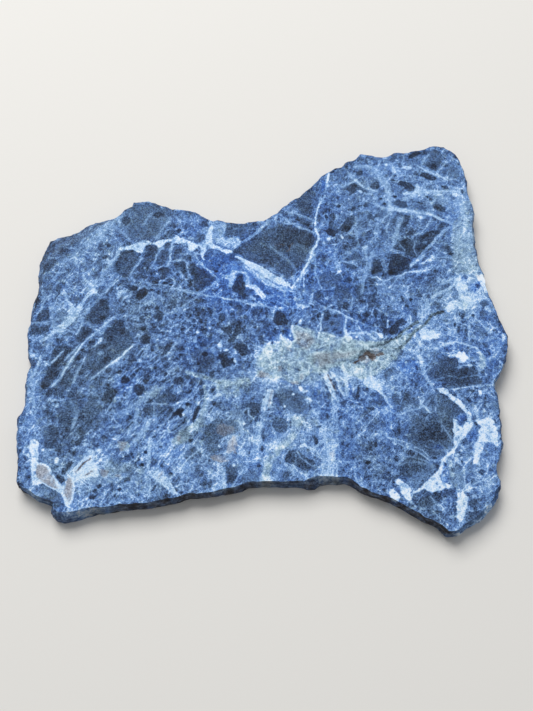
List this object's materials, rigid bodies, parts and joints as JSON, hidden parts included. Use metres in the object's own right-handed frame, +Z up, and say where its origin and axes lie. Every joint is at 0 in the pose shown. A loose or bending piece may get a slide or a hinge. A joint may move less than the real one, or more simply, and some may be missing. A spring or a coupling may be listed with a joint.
{
  "type": "rough mineral slab",
  "caption": "Thin flat slab of rough sodalite, sawn on both faces and naturally broken all round, with a shallow pit in its upper face; it lies flat on a surface.",
  "frame": {"origin": "middle of the footprint, on the sawn face that the slab lies on", "axes": "+X along the slab's length, to the right in the picture; +Y across it, away from the viewer; +Z up, out of the upper sawn face"},
  "size_m": [0.127, 0.1108, 0.005],
  "materials": {
    "sodalite": "matte"
  },
  "bodies": {
    "root": {"sodalite_slab": "sodalite"}
  },
  "joints": []
}
